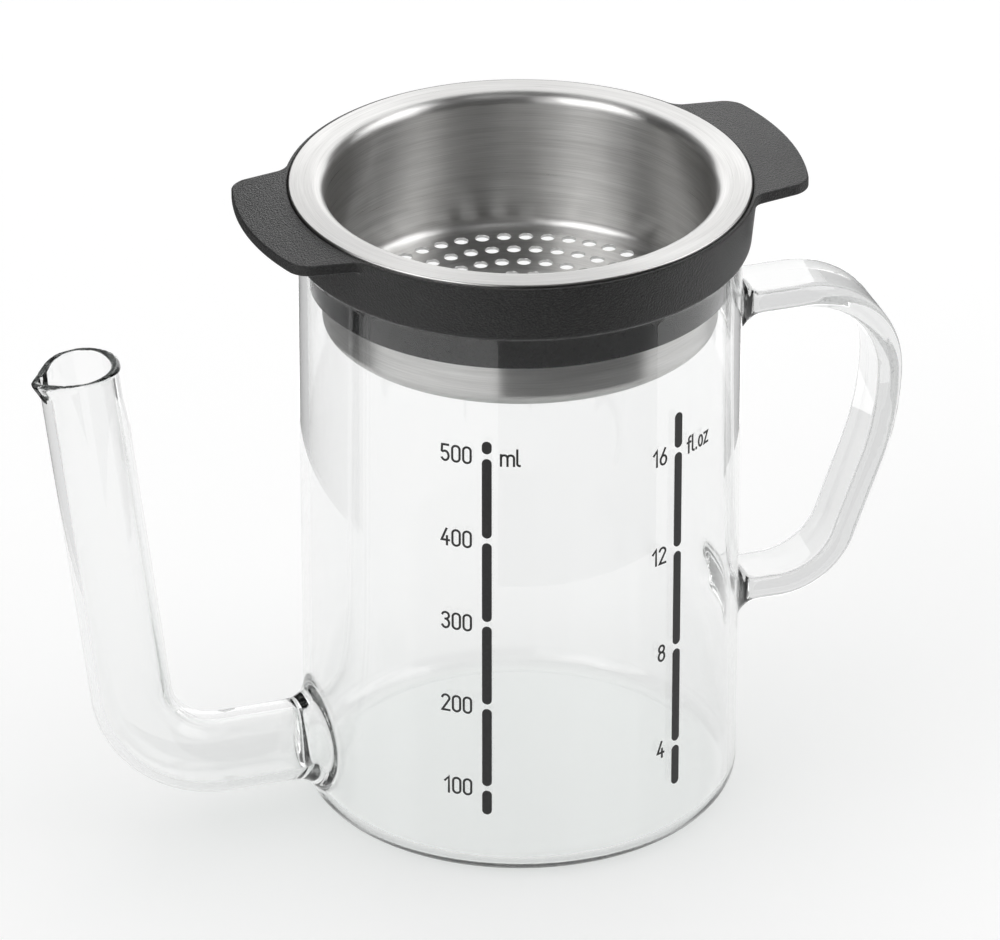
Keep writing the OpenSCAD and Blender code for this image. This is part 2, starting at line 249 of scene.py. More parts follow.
def spout_walls(x, y, z):
    """Distances to the spout's outside and bore, height h and place u along and across the upright, from the
    middle of its rim, and where the lip's form holds."""
    tube = np.hypot(path_distance(SPOUT_PATH, -x, z), y)
    h = (-x - SPOUT_END[0]) * math.sin(LEAN) + (z - SPOUT_END[1]) * math.cos(LEAN)
    u = (-x - SPOUT_END[0]) * math.cos(LEAN) - (z - SPOUT_END[1]) * math.sin(LEAN)
    top = (h > -TIP_H) & (np.hypot(u, y) < TIP_R)
    flare = smooth01((h + LIP_H) / LIP_H)
    outer_tip = teardrop(y, u, SPOUT_R, LIP_R, SPOUT_R - LIP_R + LIP * flare)
    inner_tip = teardrop(y, u, BORE_R, LIP_IN_R, BORE_R - LIP_IN_R + LIP_IN * flare)
    return np.where(top, outer_tip, tube - SPOUT_R), np.where(top, inner_tip, tube - BORE_R), h, u, top


def handle_bar(x, y, z):
    """Distance to the handle's bar, a rounded flat section led along its path."""
    share = np.clip((BAR_TOP_Z - z) / (BAR_TOP_Z - BAR_LOW_Z), 0, 1)
    width = BAR_W + (BAR_LOW_W - BAR_W) * share
    a = np.abs(y) - (width / 2 - BAR_EDGE)
    b = path_distance(BAR_PATH, x, z) - (BAR_T / 2 - BAR_EDGE)
    return np.hypot(np.maximum(a, 0), np.maximum(b, 0)) + np.minimum(np.maximum(a, b), 0) - BAR_EDGE


def glass(p):
    """Signed distance, in mm, to the jug, its spout and its handle fused into one wall of glass."""
    x, y, z = p[..., 0], p[..., 1], p[..., 2]
    r = np.hypot(x, y)
    tube_out, tube_in, h, u, top = spout_walls(x, y, z)
    out = smin(vessel(r, z, JUG_R, 0.0, JUG_CORNER), tube_out, SPOUT_MELT)
    out = smin(out, handle_bar(x, y, z), BAR_MELT)
    cavity = smin(vessel(r, z, MOUTH_R, JUG_FLOOR, JUG_CORNER - JUG_WALL), tube_in, BORE_MELT)
    solid = np.maximum(out, -cavity)
    # the spout's rim and the jug's, both half round
    middle, half = (tube_out + tube_in) / 2, (tube_in - tube_out) / 2
    rise = h + LIP_DROP * smooth01((u - 2) / (SPOUT_R + LIP - 2)) + half
    solid = np.where(top & (h > -RIM_H), np.hypot(middle, np.maximum(rise, 0)) - half, solid)
    rim_r, rim_z = JUG_R - JUG_WALL / 2, JUG_H - JUG_WALL / 2
    rim = np.hypot(r - rim_r, np.maximum(z - rim_z, 0)) - JUG_WALL / 2
    return np.where((z > 112) & (r < 52), rim, solid)          # above the handle, beside the spout


def gradient(f, p, eps=0.01):
    g = np.empty_like(p)
    for k in range(3):
        d = np.zeros(3)
        d[k] = eps
        g[:, k] = (f(p + d) - f(p - d)) / (2 * eps)
    return g


def skin(f, low, high, step):
    """The zero surface of f between two corners, as points, quads and normals. The points start in the
    middle of each grid cell's crossings, and are then moved onto the surface."""
    axes = [np.arange(a, b + step, step) for a, b in zip(low, high)]
    n = [len(a) for a in axes]
    s = np.empty(n)
    slab = 24                   # so many layers at a time, to save memory
    for i in range(0, n[0], slab):
        s[i:i + slab] = f(np.stack(np.meshgrid(axes[0][i:i + slab], axes[1], axes[2], indexing="ij"), -1))
    inside = s < 0
    corners = [(i, j, k) for i in (0, 1) for j in (0, 1) for k in (0, 1)]
    count = sum(inside[i:n[0] - 1 + i, j:n[1] - 1 + j, k:n[2] - 1 + k].astype(np.int8)
                for i, j, k in corners)
    cells = np.argwhere((count > 0) & (count < 8))
    index = np.full([m - 1 for m in n], -1)
    index[tuple(cells.T)] = np.arange(len(cells))
    at = {c: s[cells[:, 0] + c[0], cells[:, 1] + c[1], cells[:, 2] + c[2]] for c in corners}
    total, hits = np.zeros((len(cells), 3)), np.zeros(len(cells))
    for a in corners:
        for k in range(3):
            if a[k]:
                continue
            b = tuple(1 if q == k else a[q] for q in range(3))
            cross = (at[a] < 0) != (at[b] < 0)
            t = np.where(cross, at[a] / np.where(cross, at[a] - at[b], 1), 0)
            for q in range(3):
                total[:, q] += np.where(cross, a[q] + (t if q == k else 0), 0)
            hits += cross
    points = (cells + total / hits[:, None]) * step + np.array([a[0] for a in axes])
    faces = []
    for k in range(3):
        u, v = (k + 1) % 3, (k + 2) % 3
        lo = [slice(0, m) for m in n]
        hi = [slice(0, m) for m in n]
        lo[k], hi[k] = slice(0, n[k] - 1), slice(1, n[k])
        for q in (u, v):
            lo[q] = hi[q] = slice(1, n[q] - 1)
        a, b = inside[tuple(lo)], inside[tuple(hi)]
        for flip, hit in ((False, a & ~b), (True, b & ~a)):
            e = np.argwhere(hit)
            e[:, u] += 1
            e[:, v] += 1
            quad = []
            for du, dv in ((-1, -1), (0, -1), (0, 0), (-1, 0)):
                c = e.copy()
                c[:, u] += du
                c[:, v] += dv
                quad.append(index[tuple(c.T)])
            quad = np.stack(quad[::-1] if flip else quad, -1)
            faces.append(quad)
    faces = np.concatenate(faces)
    for _ in range(5):
        g = gradient(f, points)
        move = f(points)[:, None] * g / np.maximum((g * g).sum(-1), 1e-6)[:, None]
        points -= np.clip(move, -step, step)
    g = gradient(f, points)
    return points, faces, g / np.linalg.norm(g, axis=1)[:, None]


# ---------------------------------------------------------------- materials
def bare_material(name):
    mat = bpy.data.materials.new(name)
    mat.use_nodes = True
    mat.node_tree.nodes.clear()
    return mat, mat.node_tree, mat.node_tree.nodes.new("ShaderNodeOutputMaterial")


def material(name):
    mat, nt, out = bare_material(name)
    return mat, nt, out, nt.nodes.new("ShaderNodeBsdfPrincipled")


def node(nt, kind, **values):
    n = nt.nodes.new(kind)
    for key, value in values.items():
        if hasattr(n, key) and key not in n.inputs:
            setattr(n, key, value)
        else:
            n.inputs[key].default_value = value
    return n


def math_node(nt, op, a, b=None, c=None):
    n = nt.nodes.new("ShaderNodeMath")
    n.operation = op
    for i, v in enumerate((a, b, c)):
        if v is None:
            continue
        if hasattr(v, "is_linked"):
            nt.links.new(v, n.inputs[i])
        else:
            n.inputs[i].default_value = v
    return n.outputs[0]


def ramp(nt, socket, stops):
    n = nt.nodes.new("ShaderNodeValToRGB")
    els = n.color_ramp.elements
    while len(els) < len(stops):
        els.new(0.5)
    for e, (at, value) in zip(els, stops):
        e.position = at
        e.color = (*value, 1)
    nt.links.new(socket, n.inputs[0])
    return n.outputs[0]


def mix_shaders(nt, factor, first, second):
    mix = node(nt, "ShaderNodeMixShader")
    for socket, source in zip(mix.inputs, (factor, first.outputs[0], second.outputs[0])):
        nt.links.new(source, socket)
    return mix.outputs[0]


def glass_material():
    """Clear glass with faint waves and a slight grey in its depth. Lamp light goes straight through it."""
    mat, nt, out, bsdf = material("borosilicate_glass")
    bsdf.inputs["Base Color"].default_value = (0.99, 0.992, 0.991, 1)
    bsdf.inputs["Transmission Weight"].default_value = 1.0
    bsdf.inputs["Roughness"].default_value = 0.0
    bsdf.inputs["IOR"].default_value = 1.47
    coord = node(nt, "ShaderNodeTexCoord")
    noise = node(nt, "ShaderNodeTexNoise", Scale=38.0, Detail=1.0, Roughness=0.4)
    nt.links.new(coord.outputs["Object"], noise.inputs["Vector"])
    bump = node(nt, "ShaderNodeBump", Strength=0.05, Distance=0.0006)
    nt.links.new(noise.outputs["Fac"], bump.inputs["Height"])
    nt.links.new(bump.outputs[0], bsdf.inputs["Normal"])
    clear = node(nt, "ShaderNodeBsdfTransparent", Color=(0.93, 0.94, 0.935, 1))
    path = node(nt, "ShaderNodeLightPath")
    light = math_node(nt, "MAXIMUM", path.outputs["Is Shadow Ray"], path.outputs["Is Diffuse Ray"])
    nt.links.new(mix_shaders(nt, light, bsdf, clear), out.inputs["Surface"])
    absorb = node(nt, "ShaderNodeVolumeAbsorption", Color=(0.5, 0.51, 0.505, 1), Density=20.0)
    nt.links.new(absorb.outputs[0], out.inputs["Volume"])
    return mat


def ring_coords(nt, round_scale, across_scale):
    """Coordinates that run slowly round the Z axis and fast across the turning marks."""
    coord = node(nt, "ShaderNodeTexCoord")
    split = node(nt, "ShaderNodeSeparateXYZ")
    nt.links.new(coord.outputs["Object"], split.inputs[0])
    x, y, z = split.outputs
    squares = math_node(nt, "ADD", math_node(nt, "MULTIPLY", x, x), math_node(nt, "MULTIPLY", y, y))
    r = math_node(nt, "SQRT", squares)
    safe = math_node(nt, "MAXIMUM", r, 0.0005)
    join = node(nt, "ShaderNodeCombineXYZ")
    for socket, along in zip(join.inputs, (x, y)):
        share = math_node(nt, "DIVIDE", along, safe)
        nt.links.new(math_node(nt, "MULTIPLY", share, round_scale), socket)
    across = math_node(nt, "MULTIPLY", math_node(nt, "ADD", r, z), across_scale)
    nt.links.new(across, join.inputs[2])
    return join.outputs[0]


def steel_material():
    """Stainless steel brushed round the Z axis."""
    mat, nt, out, bsdf = material("brushed_steel")
    bsdf.inputs["Metallic"].default_value = 1.0
    bsdf.inputs["Anisotropic"].default_value = 0.9
    bsdf.inputs["Anisotropic Rotation"].default_value = 0.25
    tangent = node(nt, "ShaderNodeTangent", direction_type="RADIAL", axis="Z")
    nt.links.new(tangent.outputs[0], bsdf.inputs["Tangent"])
    fine = node(nt, "ShaderNodeTexNoise", Scale=1.0, Detail=3.0, Roughness=0.6)
    nt.links.new(ring_coords(nt, 3.0, 6000.0), fine.inputs["Vector"])
    coarse = node(nt, "ShaderNodeTexNoise", Scale=1.0, Detail=2.0)
    nt.links.new(ring_coords(nt, 2.0, 700.0), coarse.inputs["Vector"])
    both = math_node(nt, "ADD", math_node(nt, "MULTIPLY", fine.outputs["Fac"], 0.6),
                     math_node(nt, "MULTIPLY", coarse.outputs["Fac"], 0.4))
    tones = [(0.3, (0.46, 0.456, 0.449)), (0.7, (0.70, 0.696, 0.687))]
    nt.links.new(ramp(nt, both, tones), bsdf.inputs["Base Color"])
    nt.links.new(math_node(nt, "MULTIPLY_ADD", both, 0.22, 0.2), bsdf.inputs["Roughness"])
    bump = node(nt, "ShaderNodeBump", Strength=0.25, Distance=0.00003)
    nt.links.new(fine.outputs["Fac"], bump.inputs["Height"])
    nt.links.new(bump.outputs[0], bsdf.inputs["Normal"])
    nt.links.new(bsdf.outputs[0], out.inputs["Surface"])
    return mat


def plastic_material(name, dark, light, rough, ior, grain, depth, wear_scale, sheen=0.0):
    """Plastic or print with a fine grain, its scale per metre and its depth in metres, and with a gloss that
    varies a little over a larger scale."""
    mat, nt, out, bsdf = material(name)
    bsdf.inputs["IOR"].default_value = ior
    bsdf.inputs["Sheen Weight"].default_value = sheen
    bsdf.inputs["Sheen Roughness"].default_value = 0.35
    coord = node(nt, "ShaderNodeTexCoord")
    grains = node(nt, "ShaderNodeTexNoise", Scale=grain, Detail=3.0, Roughness=0.65)
    nt.links.new(coord.outputs["Object"], grains.inputs["Vector"])
    wear = node(nt, "ShaderNodeTexNoise", Scale=wear_scale, Detail=2.0)
    nt.links.new(coord.outputs["Object"], wear.inputs["Vector"])
    nt.links.new(ramp(nt, grains.outputs["Fac"], [(0.4, dark), (0.68, light)]), bsdf.inputs["Base Color"])
    gloss = math_node(nt, "MULTIPLY_ADD", wear.outputs["Fac"], 0.12, rough - 0.06)
    nt.links.new(gloss, bsdf.inputs["Roughness"])
    bump = node(nt, "ShaderNodeBump", Strength=0.8, Distance=depth)
    nt.links.new(grains.outputs["Fac"], bump.inputs["Height"])
    nt.links.new(bump.outputs[0], bsdf.inputs["Normal"])
    nt.links.new(bsdf.outputs[0], out.inputs["Surface"])
    return mat


def set_material(ob, mat):
    ob.data.materials.clear()
    ob.data.materials.append(mat)
    return ob


# ---------------------------------------------------------------- camera, light, floor
LENS, CAMERA_AZ, CAMERA_EL, CAMERA_AWAY = 316.4, -18, 28.27, 1.72
LOOK_Z, LOOK_LEFT = 0.0672, 0.00392      # what the camera looks at: height, and metres left of the jug's axis
CARD_AWAY, CARD_TOP = 0.16, 0.9          # the ring of studio cards: radius, and height of its lid
WITHIN = 0.86                            # how bright a card looks to light reflected inside a wall of glass
BOUNCES = 64                             # enough for the light that stays in the glass rims

LAMPS = (("left", (-1.55, -0.35, 1.15), (1.9, 1.8), 11), ("right", (1.5, -0.4, 0.95), (1.6, 1.6), 8),
         ("rear", (0.5, 1.5, 1.0), (2.2, 1.2), 7), ("top", (0.1, 0.3, 1.9), (1.8, 1.8), 10))
# name, first and last azimuth in degrees, brightness, lower and upper height
CARDS = (("flag_front", -118, -42, 0.01, 0.0, 0.14), ("card_front", -118, -42, 0.12, 0.14, 0.45),
         ("flag_left_rear", 97, 172, 0.08, 0.0, CARD_TOP), ("flag_right_rear", 12, 43, 0.12, 0.0, CARD_TOP),
         ("card_rear", 43, 97, 1.65, 0.0, 0.36), ("card_right", -34, 12, 2.9, 0.2, 0.42),
         ("card_left", 172, 226, 3.4, 0.2, 0.42), ("flag_above_rear", 43, 97, 0.05, 0.36, CARD_TOP),
         ("flag_above_right", -42, 12, 0.05, 0.42, CARD_TOP),
         ("flag_above_left", 172, 242, 0.05, 0.42, CARD_TOP))


def camera():
    cam = add_object("camera", bpy.data.cameras.new("camera"))
    cam.data.sensor_width, cam.data.lens = 36.0, LENS
    cam.data.clip_start, cam.data.clip_end = 0.1, 20
    az, el = math.radians(CAMERA_AZ), math.radians(CAMERA_EL)
    right = Vector((math.cos(az), math.sin(az), 0))
    back = Vector((math.sin(az) * math.cos(el), -math.cos(az) * math.cos(el), math.sin(el)))
    cam.location = Vector((0, 0, LOOK_Z)) - right * LOOK_LEFT + back * CAMERA_AWAY
    cam.rotation_mode = "QUATERNION"
    cam.rotation_quaternion = (-back).to_track_quat("-Z", "Y")
    bpy.context.scene.camera = cam


def lamp(name, at, size, power):
    """A soft lamp that is aimed at the jug's middle and doesn't show in reflections."""
    data = bpy.data.lights.new(name, "AREA")
    data.shape, data.size, data.size_y, data.energy = "RECTANGLE", size[0], size[1], power
    ob = add_object(name, data)
    ob.location = at
    ob.rotation_mode = "QUATERNION"
    ob.rotation_quaternion = (Vector((0, 0, 0.07)) - Vector(at)).to_track_quat("-Z", "Y")
    ob.visible_glossy = False


def seen_directly(nt):
    """1 for camera, glossy and transmission rays."""
    path = node(nt, "ShaderNodeLightPath")
    bent = math_node(nt, "MAXIMUM", path.outputs["Is Glossy Ray"], path.outputs["Is Transmission Ray"])
    return math_node(nt, "MAXIMUM", path.outputs["Is Camera Ray"], bent)


def world():
    """White where it is seen, and a dimmer light on what is matt."""
    w = bpy.data.worlds.new("studio")
    bpy.context.scene.world = w
    w.use_nodes = True
    nt = w.node_tree
    nt.nodes.clear()
    out = node(nt, "ShaderNodeOutputWorld")
    light = node(nt, "ShaderNodeBackground", Color=(1, 1, 1, 1), Strength=0.4)
    shown = node(nt, "ShaderNodeBackground", Color=(1, 1, 1, 1), Strength=1.0)
    nt.links.new(mix_shaders(nt, seen_directly(nt), light, shown), out.inputs[0])


def circle(radius, count, z):
    turns = [2 * math.pi * i / count for i in range(count)]
    return [(radius * math.cos(t), radius * math.sin(t), z) for t in turns]


def floor():
    """A white round floor just under the jug. It keeps the shadow, and glows a little where it is seen."""
    n = 96
    me = bpy.data.meshes.new("floor")
    me.from_pydata(circle(4, n, -0.0001), [], [list(range(n))])
    mat, nt, out = bare_material("floor")
    diffuse = node(nt, "ShaderNodeBsdfDiffuse", Color=(0.86, 0.86, 0.86, 1))
    glow = node(nt, "ShaderNodeEmission", Color=(1, 1, 1, 1), Strength=0.2)
    nothing = node(nt, "ShaderNodeEmission", Color=(0, 0, 0, 1), Strength=0.0)
    add = node(nt, "ShaderNodeAddShader")
    nt.links.new(diffuse.outputs[0], add.inputs[0])
    nt.links.new(mix_shaders(nt, seen_directly(nt), nothing, glow), add.inputs[1])
    nt.links.new(add.outputs[0], out.inputs["Surface"])
    me.materials.append(mat)
    add_object("floor", me)


def card(name, verts, faces, bright):
    """A studio card, dark or bright, that shows only in reflections, as a card beside a product does."""
    me = bpy.data.meshes.new(name)
    me.from_pydata(verts, [], faces)
    mat, nt, out = bare_material(name)
    glow = node(nt, "ShaderNodeEmission", Color=(1, 1, 1, 1))
    clear = node(nt, "ShaderNodeBsdfTransparent")
    path = node(nt, "ShaderNodeLightPath")
    within = math_node(nt, "COMPARE", path.outputs["Transmission Depth"], 2.0, 1.5)
    nt.links.new(math_node(nt, "MULTIPLY_ADD", within, WITHIN - bright, bright), glow.inputs["Strength"])
    mirrored = math_node(nt, "MINIMUM", path.outputs["Glossy Depth"], 1.0)
    nt.links.new(mix_shaders(nt, mirrored, clear, glow), out.inputs["Surface"])
    me.materials.append(mat)
    ob = add_object(name, me)
    ob.visible_camera = ob.visible_diffuse = ob.visible_shadow = ob.visible_volume_scatter = False


def round_card(name, first, last, bright, low, top):
    """A card bent round the jug's axis."""
    turns = np.radians(np.linspace(first, last, 33))
    verts = [(CARD_AWAY * math.cos(t), CARD_AWAY * math.sin(t), z) for t in turns for z in (low, top)]
    card(name, verts, [(2 * i, 2 * i + 2, 2 * i + 3, 2 * i + 1) for i in range(len(turns) - 1)], bright)


bpy.context.scene.view_settings.view_transform = "Standard"
cycles = bpy.context.scene.cycles
cycles.max_bounces, cycles.glossy_bounces, cycles.transmission_bounces = BOUNCES, BOUNCES, BOUNCES
camera()
for settings in LAMPS:
    lamp(*settings)
world()
floor()
for settings in CARDS:
    round_card(*settings)
card("flag_top", circle(CARD_AWAY, 48, CARD_TOP), [list(range(48))], 0.08)

# ---------------------------------------------------------------- glass
GLASS = glass_material()
points, faces, normals = skin(glass, (-99.6, -44.4, -1.2), (79.0, 44.4, 119.6), 0.8)
jug = new_mesh("jug_glass", points, faces, normals)
set_material(jug, GLASS)
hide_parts("jug_body", "spout_tube", "jug_handle")
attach(jug, "jug")

# ---------------------------------------------------------------- print
PRINT = plastic_material("scale_print", (0.018, 0.018, 0.018), (0.03, 0.03, 0.03), 0.5, 1.45,
                         grain=2500.0, depth=0.00001, wear_scale=60.0)
for name in ("ml_scale", "floz_scale"):
    set_material(NODES[name], PRINT)


def bow(cx, cy, rx, ry, first, last, steps=14):
    """Points of an elliptical arc."""
    turns = [math.radians(first + (last - first) * i / steps) for i in range(steps + 1)]
    return [(cx + rx * math.cos(t), cy + ry * math.sin(t)) for t in turns]


def glyph(char):
    """Pen strokes of a plain monoline figure or letter in mm, and its width. Its foot is at 0."""
    w, top = 1.46, CAP - PEN
    x, r = w / 2, w / 2
    if char == "0":
        return [bow(x, top - r, r, r, 0, 180) + bow(x, r, r, r, 180, 360) + [(w, top - r)]], w
    if char == "1":
        return [[(0.1, top - 0.85), (0.85, top), (0.85, 0)]], 1.0
    if char == "2":
        return [bow(x, top - r, r, r, 165, -38) + [(0.02, 0), (w, 0)]], w
    if char == "3":
        return [bow(x, top - r, r * 0.95, r, 155, -90, 12) + bow(x, r * 1.3, r, r * 1.3, 90, -150, 14)], w
    if char == "4":
        return [[(0.95, top), (0.0, 0.95), (w, 0.95)], [(1.08, 1.75), (1.08, 0)]], w
    if char == "5":
        return [[(w - 0.12, top), (0.16, top), (0.08, top - 1.42)] + bow(x, 1.0, r, 1.0, 125, -145)], w
    if char == "6":
        return [[(1.12, top), (0.42, 1.95)] + bow(x, 0.97, r, 0.97, 150, 510, 24)], w
    if char == "8":
        return [bow(x, top - 0.75, r * 0.88, 0.75, -90, 270, 20), bow(x, 0.93, r, 0.93, -90, 270, 22)], w
    low, q = 2.25, 0.6
    if char == "m":
        return [[(0, 0), (0, low)], bow(0.62, low - 0.62, 0.62, 0.62, 180, 0, 10) + [(1.24, 0)],
                bow(1.86, low - 0.62, 0.62, 0.62, 180, 0, 10) + [(2.48, 0)]], 2.48
    if char == "l":
        return [[(0, top), (0, 0.45)] + bow(0.45, 0.45, 0.45, 0.45, 180, 270, 6)], 0.55
    if char == "f":
        return [bow(0.78, top - 0.48, 0.48, 0.48, 90, 180, 6) + [(0.3, 0)], [(-0.08, 2.2), (0.8, 2.2)]], 0.8
    if char == ".":
        return [[(0, 0), (0.001, 0.12)]], 0.15
    if char == "o":
        return [bow(q, low / 2, q, low / 2, 0, 360, 22)], 2 * q
    if char == "z":
        return [[(0, low), (1.15, low), (0, 0), (1.2, 0)]], 1.2
    return [], 0.9


def widened(stroke):
    """Left and right edge of a pen stroke at each of its points, and whether it is a closed loop."""
    keep = [stroke[0]] + [b for a, b in zip(stroke, stroke[1:]) if np.linalg.norm(b - a) > 1e-4]
    closed = len(keep) > 3 and np.linalg.norm(keep[0] - keep[-1]) < 1e-3
    if closed:
        keep = keep[:-1]
    m = len(keep)
    sides = []
    for i, q in enumerate(keep):
        before = keep[(i - 1) % m] if closed or i else None
        after = keep[(i + 1) % m] if closed or i < m - 1 else None
        u = None if before is None else (q - before) / np.linalg.norm(q - before)
        v = None if after is None else (after - q) / np.linalg.norm(after - q)
        end, miter = 0.0, 1.0
        if u is None:
            t, end = v, -PEN / 2
        elif v is None:
            t, end = u, PEN / 2
        else:
            t = (u + v) / np.linalg.norm(u + v)
            miter = max(abs(float(t @ u)), 0.5)
        across = np.array([-t[1], t[0]]) * PEN / 2 / miter
        sides.append((q + t * end + across, q + t * end - across))
    return sides, closed


def add_stroke(stroke, azimuth, verts, faces):
    """Adds a pen stroke, laid round the jug's outside, as a closed thin solid of ink."""
    sides, closed = widened(stroke)
    first, m = len(verts), len(sides)
    for side in sides:
        for radius in (JUG_R + INK_OUT, JUG_R - INK_IN):
            for px, pz in side:
                turn = azimuth + px / JUG_R
                verts.append((radius * math.cos(turn), radius * math.sin(turn), pz))
    for i in range(m if closed else m - 1):
        a, b = first + 4 * i, first + 4 * ((i + 1) % m)
        faces += [(a + 1, b + 1, b, a), (a + 2, b + 2, b + 3, a + 3),
                  (a, b, b + 2, a + 2), (a + 3, b + 3, b + 1, a + 1)]
    if not closed:
        a, b = first, first + 4 * (m - 1)
        faces += [(a, a + 2, a + 3, a + 1), (b + 1, b + 3, b + 2, b)]


def lettering(name, jobs):
    """Flat strokes of ink on the jug's outside. A job is text, azimuth, its edge in mm left or right of the
    bar, and the height of its foot."""
    verts, faces = [], []
    for text, azimuth, edge, foot in jobs:
        shapes = [glyph(c) for c in text]
        gap = 0.72 if text[0].isdigit() else 0.62
        total = sum(w for _, w in shapes) + gap * (len(text) - 1)
        x0 = edge + PEN / 2 if edge > 0 else edge - PEN / 2 - total
        for strokes, width in shapes:
            for stroke in strokes:
                add_stroke([np.array(q, float) + (x0, foot + PEN / 2) for q in stroke], azimuth, verts, faces)
            x0 += width + gap
    ob = new_mesh(name, verts, faces, flat=True)
    set_material(ob, PRINT)
    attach(ob, "jug")


ML_MARKS = [(100 * (k + 1), MARK_Z + MARK_STEP * k) for k in range(5)]
OZ_MARKS = [(4 * k, MARK_Z + MARK_STEP * (4 * k * OZ - 1)) for k in range(1, 5)]
for name, marks, unit, side in (("ml_figures", ML_MARKS, "ml", -1), ("floz_figures", OZ_MARKS, "fl.oz", 1)):
    azimuth = -math.pi / 2 + side * SCALE_ANGLE
    lettering(name, [(str(value), azimuth, -2.9, z - CAP / 2) for value, z in marks]
              + [(unit, azimuth, 2.5, marks[-1][1] - CAP / 2)])

# ---------------------------------------------------------------- insert
COLLAR = plastic_material("matte_black_plastic", (0.001, 0.001, 0.001), (0.022, 0.022, 0.0215), 0.33, 1.47,
                          grain=2600.0, depth=0.0004, wear_scale=45.0, sheen=0.1)
SLEEVE = plastic_material("dark_plastic", (0.006, 0.006, 0.0063), (0.01, 0.01, 0.0104), 0.16, 1.34,
                          grain=900.0, depth=0.00001, wear_scale=30.0)
BRUSHED = steel_material()
ROUND = 288


def insert_piece(ob, mat, node_name):
    set_material(ob, mat)
    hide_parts(node_name)
    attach(ob, "insert")


def sleeve():
    bore_r = BOWL_R + BOWL_GAP
    profile = outline((bore_r, SLEEVE_Z), (SLEEVE_R - SLEEVE_EDGE, SLEEVE_Z),
                      (SLEEVE_R - SLEEVE_EDGE, SLEEVE_Z + SLEEVE_EDGE, SLEEVE_EDGE, -90, 0, 5),
                      (SLEEVE_R, COLLAR_Z), (TONGUE_R, COLLAR_Z), (TONGUE_R, TONGUE_TOP),
                      (bore_r, TONGUE_TOP), (bore_r, SLEEVE_Z))
    verts, faces, corners, _ = turned(profile, ROUND)
    insert_piece(new_mesh("sleeve", verts, faces, corners), SLEEVE, "retaining_sleeve")


def bowl_profile():
    """Wall, rounding and flange of the bowl, from the outside of its floor to the inside."""
    flat_r, corner_z = BOWL_R - BOWL_CORNER, BOWL_Z + BOWL_CORNER
    low, high = 0.2, 0.3                   # radius of the flange's edges below and above
    edge_in, edge_z = FLANGE_R - STEEL, FLANGE_TOP - FLANGE_EDGE_H + low
    return outline(
        (flat_r, corner_z, BOWL_CORNER, -90, 0, 8), (MID_R, MID_Z, ROUND_R - STEEL, 180, 90, 10),
        (edge_in, FLANGE_TOP - STEEL), (edge_in, edge_z),
        (edge_in + low, edge_z, low, 180, 270, 3), (FLANGE_R - low, edge_z, low, -90, 0, 3),
        (FLANGE_R - high, FLANGE_TOP - high, high, 0, 90, 5), (MID_R, MID_Z, ROUND_R, 90, 180, 14),
        (flat_r, corner_z, BOWL_CORNER - STEEL, 0, -90, 8))


def floor_plan(rim, centres, turns):
    """Points of the floor's rim and of each hole's edge in the plane, and the triangles between them."""
    radius = HOLE_D / 2 + HOLE_EDGE
    plan = [Vector(p) for p in rim]
    edges = [(i, (i + 1) % ROUND) for i in range(ROUND)]
    for cx, cy in centres:
        first = len(plan)
        plan += [Vector((cx + radius * math.cos(t), cy + radius * math.sin(t))) for t in turns]
        edges += [(first + i, first + (i + 1) % len(turns)) for i in range(len(turns))]
    got = delaunay_2d_cdt(plan, edges, [], 1, 1e-6)
    origin = [o[0] for o in got[3]]
    triangles = []
    for face in got[2]:
        tri = [origin[i] for i in face]
        loops = {(i - ROUND) // len(turns) if i >= ROUND else -1 for i in tri}
        if len(loops) > 1 or loops == {-1}:          # three points of one hole's edge span the hole itself
            triangles.append(tri)
    return plan, triangles


def bowl():
    """Wall, rounding and flange turned in one, then the floor with its punched holes."""
    verts, faces, corners, per = turned(bowl_profile(), ROUND, TURN)
    verts = verts.tolist()
    around = 28
    turns = [2 * math.pi * i / around for i in range(around)]
    centres = [(0.0, 0.0)]
    for k in range(1, RINGS + 1):
        ring = [TURN + 2 * math.pi * i / (8 * k) for i in range(8 * k)]
        centres += [(k * HOLE_PITCH * math.cos(t), k * HOLE_PITCH * math.sin(t)) for t in ring]
    plan, triangles = floor_plan([verts[i * per][:2] for i in range(ROUND)], centres, turns)

    wide, narrow = HOLE_D / 2 + HOLE_EDGE, HOLE_D / 2
    levels = [(wide, BOWL_Z), (narrow, BOWL_Z + HOLE_EDGE), (narrow, BOWL_Z + STEEL - HOLE_EDGE),
              (wide, BOWL_Z + STEEL)]
    start = len(verts)
    for cx, cy in centres:
        for radius, z in levels:
            verts += [(cx + radius * math.cos(t), cy + radius * math.sin(t), z) for t in turns]

    def floor_index(i, top):
        if i < ROUND:
            return i * per + (per - 1 if top else 0)
        hole, k = divmod(i - ROUND, around)
        return start + hole * 4 * around + (3 * around if top else 0) + k

    for a, b, c in triangles:
        if (plan[b] - plan[a]).cross(plan[c] - plan[a]) < 0:
            b, c = c, b
        faces.append([floor_index(i, True) for i in (a, b, c)])
        corners += [(0, 0, 1)] * 3
        faces.append([floor_index(i, False) for i in (a, c, b)])
        corners += [(0, 0, -1)] * 3
    slope = math.sqrt(0.5)
    for hole in range(len(centres)):
        for level, (tilt, level_n) in enumerate(((-slope, slope), (0, 1), (slope, slope))):
            a = start + (hole * 4 + level) * around
            for i in range(around):
                j = (i + 1) % around
                faces.append([a + j, a + i, a + around + i, a + around + j])
                for t in (turns[j], turns[i], turns[i], turns[j]):
                    corners.append((-level_n * math.cos(t), -level_n * math.sin(t), tilt))
    insert_piece(new_mesh("bowl", verts, faces, corners), BRUSHED, "strainer_bowl")


